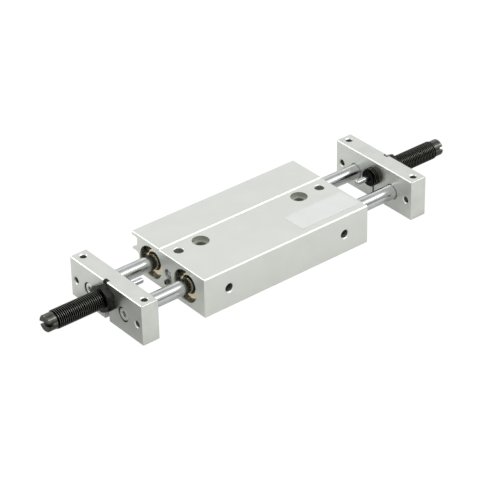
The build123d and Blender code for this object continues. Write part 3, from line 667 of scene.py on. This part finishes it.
def makeTappedHoles():
    s = tapSize
    apart = (2 * s["plateIn"] + s["plateThickness"], 2 * s["holeY"])
    sleeve = tapped(s["plateRadius"], s["platePitch"], s["plateRidge"], s["plateThickness"])
    through = setOut(sleeve, "plateThreadsThrough", "cutThread", "carriage", {
        "count": (2, 2), "spacing": apart, "centre": (carriageX - s["plateThickness"] / 2, 0, boreZ),
    })
    sleeve = tapped(s["plateRadius"], s["platePitch"], s["plateRidge"], s["topDepth"])
    upright = setOut(sleeve, "plateThreadsTop", "cutThread", "carriage", {
        "count": (2, 2), "spacing": apart, "centre": (carriageX, 0, s["topZ"]), "turn": (0, 90, 0),
    })
    sleeve = tapped(s["portRadius"], s["portPitch"], s["portRidge"], s["portDepth"])
    ports = setOut(sleeve, "portThreads", "cutThread", "housing", {
        "count": (2, 1), "spacing": (2 * s["portX"], 0), "centre": (0, s["portFace"], boreZ),
        "turn": (0, 0, 90),
    })


makeTappedHoles()
print("holes tapped")


labelSize = {  # mm; a film with round corners, stuck on the near half of the top
    "x": (13.0, 51.2), "y": (-25.2, -10.6), "thickness": 0.12, "sunk": 0.02, "corner": 1.2, "steps": 6,
    "edge": 0.04,
}


def makeLabel():
    s = labelSize
    bm = bmesh.new()
    rings = []
    levels = ((-s["sunk"], 0), (s["thickness"] - s["edge"], 0), (s["thickness"], s["edge"]))
    for height, inset in levels:
        ring = []
        for cornerX, cornerY, turned in ((1, 1, 0), (0, 1, 90), (0, 0, 180), (1, 0, 270)):
            radius = s["corner"] - inset
            middleX = s["x"][cornerX] - (s["corner"] if cornerX else -s["corner"])
            middleY = s["y"][cornerY] - (s["corner"] if cornerY else -s["corner"])
            for step in range(s["steps"] + 1):
                angle = math.radians(turned + 90 * step / s["steps"])
                spot = Vector((middleX + radius * math.cos(angle), middleY + radius * math.sin(angle),
                               bodyTop + height))
                ring.append(bm.verts.new(spot * mm))
        rings.append(ring)
    for first, second in zip(rings, rings[1:]):
        skin(bm, first, second)
    bm.faces.new(rings[0])
    bm.faces.new(rings[-1])
    label = toObject(bm, "labelPlate", "labelFilm")
    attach(label, "housing")


makeLabel()
print("label laid")


stageLook = {  # distances in metres
    "floorColour": "#DADAD8", "floorShade": "#74746F", "floorRoughness": 0.8,
    # a painted shadow: a darker strip under the part, gone at shadeFrom from the middle line and full at
    # shadeTo, but only a share of it lies under the body, up to endFrom
    "shadeFrom": 0.036, "shadeTo": 0.024, "endFrom": 0.078, "endTo": 0.1, "middleShare": 0.12,
    "floorReach": 1.6, "floorSegments": 96, "floorDrop": 0.0002, "floorGlow": 1.08, "floorShare": 0.92,
    "metalShare": 0.3,
    # the sky grows brighter from the horizon up to skyRise, and from leftFrom across to leftTo
    "skyTop": 1.22, "skyHorizon": 0.82, "skyRise": 0.8, "leftLevel": 0.8, "leftFrom": -0.9, "leftTo": 0.1,
    "flags": [  # dark patches of the sky: direction, half width and edge in degrees, share of light they keep
        ((0.52, -0.84, 0.13), 8, 10, 0.12),
        ((0.52, 0.18, 0.84), 8, 12, 0.35),
        ((0.52, 0.85, -0.02), 8, 12, 0.45),
    ],
    "lamps": [  # name, place and size in metres, watts
        ("keyLamp", (0.34, -0.42, 0.62), (1.1, 0.2), 1.85),
        ("edgeLamp", (-0.43, 0.53, 0.42), (0.3, 0.3), 0.7),
    ],
}


def backgroundShare(tree):  # how much of the white background a ray sees: all of it, or a share in metal
    kinds = addNode(tree, "ShaderNodeLightPath").outputs
    direct = addNode(tree, "ShaderNodeMath",
                     links={0: kinds["Is Camera Ray"], 1: kinds["Is Transmission Ray"]},
                     operation="MAXIMUM").outputs[0]
    mirrored = addNode(tree, "ShaderNodeMath", {1: stageLook["metalShare"]}, {0: kinds["Is Glossy Ray"]},
                       operation="MULTIPLY").outputs[0]
    return addNode(tree, "ShaderNodeMath", links={0: direct, 1: mirrored}, operation="MAXIMUM").outputs[0]


def makeFloor():
    s = stageLook
    material = bpy.data.materials.new("floorPaper")
    tree = emptyTree(material)
    where = addNode(tree, "ShaderNodeTexCoord").outputs["Object"]
    parts = addNode(tree, "ShaderNodeSeparateXYZ", links={0: where}).outputs
    off = addNode(tree, "ShaderNodeMath", links={0: parts["Y"]}, operation="ABSOLUTE").outputs[0]
    under = addNode(tree, "ShaderNodeMapRange", {"From Min": s["shadeFrom"], "From Max": s["shadeTo"]},
                    {"Value": off}, interpolation_type="SMOOTHSTEP").outputs[0]
    outward = addNode(tree, "ShaderNodeMath", links={0: parts["X"]}, operation="ABSOLUTE").outputs[0]
    full = addNode(tree, "ShaderNodeMapRange", {"From Min": s["endFrom"], "From Max": s["endTo"],
                                                "To Min": s["middleShare"]}, {"Value": outward}).outputs[0]
    under = addNode(tree, "ShaderNodeMath", links={0: under, 1: full}, operation="MULTIPLY").outputs[0]
    # painted shadow: the floor turns towards floorShade under the part
    tone = addNode(tree, "ShaderNodeMix", {"A": linear(s["floorColour"]), "B": linear(s["floorShade"])},
                   {"Factor": under}, data_type="RGBA").outputs["Result"]
    paper = addNode(tree, "ShaderNodeBsdfPrincipled", {"Roughness": s["floorRoughness"]},
                    {"Base Color": tone})
    glow = addNode(tree, "ShaderNodeEmission", {"Color": (1, 1, 1, 1), "Strength": s["floorGlow"]})
    share = addNode(tree, "ShaderNodeMath", {1: s["floorShare"]}, {0: backgroundShare(tree)},
                    operation="MULTIPLY").outputs[0]
    mix = addNode(tree, "ShaderNodeMixShader", links={0: share, 1: paper.outputs[0], 2: glow.outputs[0]})
    addNode(tree, "ShaderNodeOutputMaterial", links={"Surface": mix.outputs[0]})
    bm = bmesh.new()
    bmesh.ops.create_circle(bm, cap_ends=True, radius=s["floorReach"], segments=s["floorSegments"])
    bmesh.ops.translate(bm, verts=bm.verts, vec=(0, 0, -s["floorDrop"]))
    mesh = bpy.data.meshes.new("floor")
    bm.to_mesh(mesh)
    bm.free()
    mesh.materials.append(material)
    floor = bpy.data.objects.new("floor", mesh)
    bpy.context.scene.collection.objects.link(floor)


def makeLight():
    s = stageLook
    world = bpy.data.worlds.new("studio")
    bpy.context.scene.world = world
    tree = emptyTree(world)
    direction = addNode(tree, "ShaderNodeTexCoord").outputs["Generated"]
    parts = addNode(tree, "ShaderNodeSeparateXYZ", links={0: direction}).outputs
    upward = addNode(tree, "ShaderNodeMapRange", {
        "From Min": 0.0, "From Max": s["skyRise"], "To Min": s["skyHorizon"],
        "To Max": s["skyTop"]}, {"Value": parts["Z"]}).outputs[0]
    sideways = addNode(tree, "ShaderNodeMapRange", {
        "From Min": s["leftFrom"], "From Max": s["leftTo"], "To Min": s["leftLevel"],
        "To Max": 1.0}, {"Value": parts["X"]}).outputs[0]
    level = addNode(tree, "ShaderNodeMath", links={0: upward, 1: sideways}, operation="MULTIPLY").outputs[0]
    for toward, half, edge, kept in s["flags"]:
        near = addNode(tree, "ShaderNodeVectorMath", {1: Vector(toward).normalized()}, {0: direction},
                       operation="DOT_PRODUCT").outputs["Value"]
        shade = addNode(tree, "ShaderNodeMapRange", {
            "From Min": math.cos(math.radians(half + edge)), "From Max": math.cos(math.radians(half)),
            "To Min": 1.0, "To Max": kept}, {"Value": near}, interpolation_type="SMOOTHSTEP").outputs[0]
        level = addNode(tree, "ShaderNodeMath", links={0: level, 1: shade},
                        operation="MULTIPLY").outputs[0]
    around = addNode(tree, "ShaderNodeBackground", {"Color": (1, 1, 1, 1)}, {"Strength": level})
    white = addNode(tree, "ShaderNodeBackground", {"Color": (1, 1, 1, 1), "Strength": 1.0})
    mix = addNode(tree, "ShaderNodeMixShader", links={0: backgroundShare(tree), 1: around.outputs[0],
                                                      2: white.outputs[0]})
    addNode(tree, "ShaderNodeOutputWorld", links={"Surface": mix.outputs[0]})
    for name, place, size, power in s["lamps"]:
        light = bpy.data.lights.new(name, "AREA")
        light.shape = "RECTANGLE"
        light.size, light.size_y = size
        light.energy = power
        lamp = bpy.data.objects.new(name, light)
        lamp.location = place
        away = Vector(place).normalized()
        along = (Vector((1, 0, 0)) - away * away.x).normalized()  # the long side runs with the rods
        lamp.rotation_euler = Matrix((along, away.cross(along), away)).transposed().to_euler()
        bpy.context.scene.collection.objects.link(lamp)


cameraSetting = {  # metres, mm and degrees
    "place": (-0.5984, -0.7493, 0.6210), "lens": 168.025, "sensor": 36,
    "yaw": -38.279, "pitch": -32.530, "roll": -1.345,
}


def makeCamera():
    s = cameraSetting
    yaw, pitch, roll = (math.radians(s[key]) for key in ("yaw", "pitch", "roll"))
    right = Vector((math.cos(yaw), math.sin(yaw), 0))
    ahead = Vector((-math.sin(yaw) * math.cos(pitch), math.cos(yaw) * math.cos(pitch), math.sin(pitch)))
    up = right.cross(ahead)
    leanRight = right * math.cos(roll) + up * math.sin(roll)
    leanUp = up * math.cos(roll) - right * math.sin(roll)
    data = bpy.data.cameras.new("camera")
    data.lens = s["lens"]
    data.sensor_width = s["sensor"]
    camera = bpy.data.objects.new("camera", data)
    turn = Matrix((leanRight, leanUp, -ahead)).transposed()
    camera.matrix_world = Matrix.Translation(s["place"]) @ turn.to_4x4()
    bpy.context.scene.collection.objects.link(camera)
    bpy.context.scene.camera = camera


makeFloor()
makeLight()
makeCamera()
bpy.context.scene.view_settings.view_transform = "Standard"
print("floor, light and camera placed")
